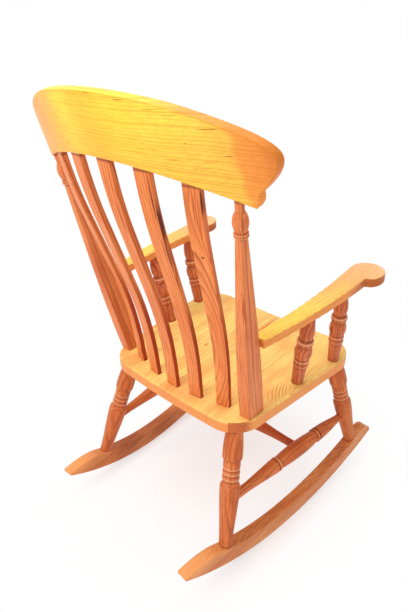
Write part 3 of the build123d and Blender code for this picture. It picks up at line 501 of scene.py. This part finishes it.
for side, sign in (("left", 1), ("right", -1)):
    scroll = mark((272 * sign, -222, 659), (26, 22, 14), shade(240, 176, 124), 0.4, push=0.9)
    dress(f"arm_{side}", *grain_axes(f"arm_{side}"), arm_tones, ring=5.0, pith=(92.0, -44.0),
          lean=(0.03, 0.03), finish=arm_finish, marks=[scroll])
    dress_turned(f"back_post_{side}", post_bands, tones=post_tones, ring=4.6, pith=(34.0, -42.0),
                 lean=(0.01, 0.02), warp=8.0, contrast=0.55, marks=post_marks[side])
    for place in ("front", "rear"):
        dress_turned(f"arm_spindle_{place}_{side}", spindle_bands, tones=spindle_tones, ring=5.4,
                     pith=(24.0, -18.0), contrast=0.8, fibre=0.9)
        dress_turned(f"leg_{place}_{side}", leg_bands, tones=leg_tones, ring=5.4, pith=(30.0, -14.0),
                     mottle=1.0, fibre=0.8)
    dress_turned(f"side_stretcher_{side}", stretcher_bands, tones=leg_tones, ring=5.0,
                 pith=(22.0, -20.0), mottle=0.9, fibre=0.7)
    # painted light: the rockers' rear ends are paler where they reach out of the seat's shadow
    painted_light_rear = mark((226 * sign, 335, 104), (60, 30, 24), shade(250, 178, 112), 0.6)
    dress(f"rocker_{side}", *grain_axes(f"rocker_{side}"), rocker_tones, ring=5.2, pith=(-90.0, -60.0),
          warp=16.0, mottle=1.0, fibre=0.7, marks=[painted_light_rear] + rocker_patches_and_painted_shade[side])
    dress(f"arm_dowel_{side}", *grain_axes(f"arm_dowel_{side}"), leg_tones, ring=2.4, pith=(9.0, -8.0))
dress_turned("cross_stretcher", [], tones=cross_tones_painted_shade, ring=5.0, pith=(22.0, -20.0), fibre=0.7)

# ------------------------------------------------------------------ seat
seat_middle = (0, 0, 0.4072)
board_width = 135.0
ripple_period = 8.0
ripple_place, ripple_size = (28.0, -212.0, 0.0), (26.0, 13.0, 60.0)
seat_up = (0, 0.06, 0.998)      # the way the sloping seat faces
corner_start = -189.5           # from here to the right, the rear corner shows striped end grain


def seat_finish(tree, spot, normal, colour):
    """
    Pale amber patches, a fine dark line where two boards meet and rosy edges. Before the right post lies
    a patch of ripples, a sine of the place along and across the grain bent by noise, and the edge of the
    right rear corner has the stripes of end grain.
    """
    along, across, deep = split(tree, spot)
    patch = noise(tree, spot, (120, 50, 50)).outputs[0]
    colour = blend(tree, spread(tree, patch, 0.44, 0.68, 0.0, 0.75), colour, shade(246, 178, 102))

    wave = sums(tree, "ADD", product(tree, along, 0.51), product(tree, across, 0.86))
    wave = sums(tree, "ADD", wave, product(tree, noise(tree, spot, (60, 30, 60)).outputs[0], 12.0))
    ripples = spread(tree, sums(tree, "SINE", product(tree, wave, math.tau / ripple_period)), -0.2, 0.9)
    there = spread(tree, bell(tree, spot, ripple_place, ripple_size), 0.15, 0.6)
    colour = blend(tree, product(tree, ripples, there, 0.7), colour, shade(206, 108, 44))

    up = facing(tree, normal, seat_up)
    colour = blend(tree, spread(tree, up, 0.75, 0.1, 0.0, 0.85), colour, shade(240, 150, 86))
    year = sums(tree, "SINE", sums(tree, "ADD", product(tree, across, 1.1), product(tree, deep, 0.5)))
    stripes = blend(tree, spread(tree, year, -0.6, 0.8), shade(196, 92, 56), shade(136, 48, 28))
    right_end = spread(tree, across, corner_start, corner_start - 1.5)
    corner = product(tree, right_end, spread(tree, along, 138.0, 156.0), spread(tree, up, 0.9, 0.7))
    colour = blend(tree, product(tree, corner, 0.9), colour, stripes)

    from_joint = sums(tree, "PINGPONG", across, board_width / 2)
    return blend(tree, spread(tree, from_joint, 0.3, 1.2, 0.6, 0.0), colour, shade(150, 76, 36)), 1.0


seat_tones = (shade(254, 226, 132), shade(251, 206, 118), shade(218, 132, 68))
seat_looks = {
    1: dict(ring=6.0, pith=(245.0, -84.0), lean=(0.02, 0.03)),
    2: dict(ring=6.6, pith=(-30.0, -70.0), lean=(0.05, -0.04), marks=[
        mark((55, -10, 407), (8, 2.2, 8), shade(206, 66, 36), 0.9)]),
    3: dict(ring=6.0, pith=(-190.0, -58.0), lean=(0.06, 0.05), marks=[
        mark((-10, -176, 415), (26, 5, 9), shade(232, 120, 50), 0.8),
        mark((-24, -215, 416), (52, 6, 9), shade(232, 120, 50), 0.8),
        mark((-8, -225, 417), (40, 2, 9), shade(206, 92, 40), 0.7)]),
    4: dict(ring=5.6, pith=(-290.0, -62.0), lean=(0.06, 0.04)),
}
for number, look in seat_looks.items():
    dress(f"seat_board_{number}", seat_middle, (0, 1, 0), (1, 0, 0), seat_tones, contrast=0.45, end=0.25,
          finish=seat_finish, **look)
dress("seat_dowels", (0, 0, 0.39), (1, 0, 0), (0, 1, 0), leg_tones, ring=2.4, pith=(9.0, -8.0))

# ------------------------------------------------------------------ floor
floor_radius, floor_sides, floor_drop = 60.0, 96, 0.0004
shaded_most = 0.55              # share of the glow that is left where the shadow is deepest


def seen_white(tree, plain, glow, shown):
    """Mixes a glow into a shader where the camera, a gloss or a clear surface looks at it."""
    path = put(tree, "ShaderNodeLightPath")
    seen = sums(tree, "MAXIMUM", path.outputs["Is Camera Ray"], path.outputs["Is Glossy Ray"])
    seen = sums(tree, "MAXIMUM", seen, path.outputs["Is Transmission Ray"])
    return put(tree, "ShaderNodeMixShader", product(tree, seen, shown), plain, glow).outputs[0]


turns = np.linspace(0, 2 * np.pi, floor_sides, endpoint=False)
level = np.full(floor_sides, -floor_drop)
disc = np.stack([floor_radius * np.cos(turns), floor_radius * np.sin(turns), level], 1)
floor_mesh = bpy.data.meshes.new("studio floor")
floor_mesh.from_pydata(disc.tolist(), [], [list(range(floor_sides))])
floor = bpy.data.objects.new("studio floor", floor_mesh)
scene.collection.objects.link(floor)

paper = bpy.data.materials.new("white paper floor")
paper.use_nodes = True
tree = paper.node_tree
tree.nodes.clear()
# the paper's pink stands in for light bounced off the wood: painted reflected light
matt_with_painted_bounce = put(tree, "ShaderNodeBsdfDiffuse", (1.0, 0.93, 0.90, 1.0)).outputs[0]
glow = put(tree, "ShaderNodeEmission", (1.0, 1.0, 1.0, 1.0), 1.0).outputs[0]
spot = put(tree, "ShaderNodeTexCoord").outputs["Object"]
both_sides = vector(tree, "ABSOLUTE", spot)
# painted shadow: less of the glow under the seat and along the rockers, so the lit paper shows darker and
# pinker there
under_seat = bell(tree, spot, (0.0, -0.08, 0.0), (0.19, 0.26, 1.0))
under_rockers = bell(tree, both_sides, (0.25, 0.0, 0.0), (0.045, 0.26, 1.0))
painted_shadow = sums(tree, "MAXIMUM", under_seat, under_rockers)
shown = spread(tree, painted_shadow, 0.04, 1.0, 1.0, shaded_most)
put(tree, "ShaderNodeOutputMaterial", seen_white(tree, matt_with_painted_bounce, glow, shown))
floor_mesh.materials.append(paper)

# ------------------------------------------------------------------ light
world = bpy.data.worlds.new("studio")
scene.world = world
world.use_nodes = True
tree = world.node_tree
tree.nodes.clear()
room = put(tree, "ShaderNodeBackground", (1.0, 0.99, 0.98, 1.0), 0.44).outputs[0]
wall = put(tree, "ShaderNodeBackground", (1.0, 1.0, 1.0, 1.0), 1.0).outputs[0]
put(tree, "ShaderNodeOutputWorld", seen_white(tree, room, wall, 1.0))


def softbox(name, place, target, size, power):
    """A square lamp of warm white at a place, aimed at a target."""
    lamp = bpy.data.lights.new(name, "AREA")
    lamp.shape, lamp.size, lamp.energy, lamp.color = "SQUARE", size, power, (1.0, 0.98, 0.95)
    holder = bpy.data.objects.new(name, lamp)
    holder.location = place
    holder.rotation_euler = (Vector(target) - Vector(place)).to_track_quat("-Z", "Y").to_euler()
    scene.collection.objects.link(holder)


softbox("key softbox", (0.5, 2.5, 2.4), (0, 0, 0.6), 1.4, 56.0)
softbox("top softbox", (0.2, 0.0, 2.9), (0, 0, 0.4), 2.0, 36.0)
softbox("side softbox", (-2.5, 0.1, 1.3), (0, 0, 0.4), 1.4, 14.0)

# ------------------------------------------------------------------ camera
picture_height = 612            # pixels
focal_length = 523.96           # pixels
shift = (1.09, -7.12)           # pixels
camera_place = (-0.7772, 0.8765, 1.1668)
turn, tilt, roll = math.radians(223.64), math.radians(27.03), math.radians(-0.16)

lens = bpy.data.cameras.new("camera")
lens.sensor_fit, lens.sensor_height, lens.sensor_width = "VERTICAL", 24.0, 16.0
lens.lens = focal_length / picture_height * lens.sensor_height
lens.shift_x, lens.shift_y = shift[0] / picture_height, shift[1] / picture_height
lens.clip_start, lens.clip_end = 0.05, 200.0
camera = bpy.data.objects.new("camera", lens)
sight = -Vector((math.sin(turn) * math.cos(tilt), -math.cos(turn) * math.cos(tilt), math.sin(tilt)))
aim = sight.to_track_quat("-Z", "Y").to_matrix() @ Matrix.Rotation(roll, 3, "Z")
camera.matrix_world = Matrix.Translation(camera_place) @ aim.to_4x4()
scene.collection.objects.link(camera)
scene.camera = camera

scene.view_settings.view_transform = "Standard"

bpy.context.view_layer.update()
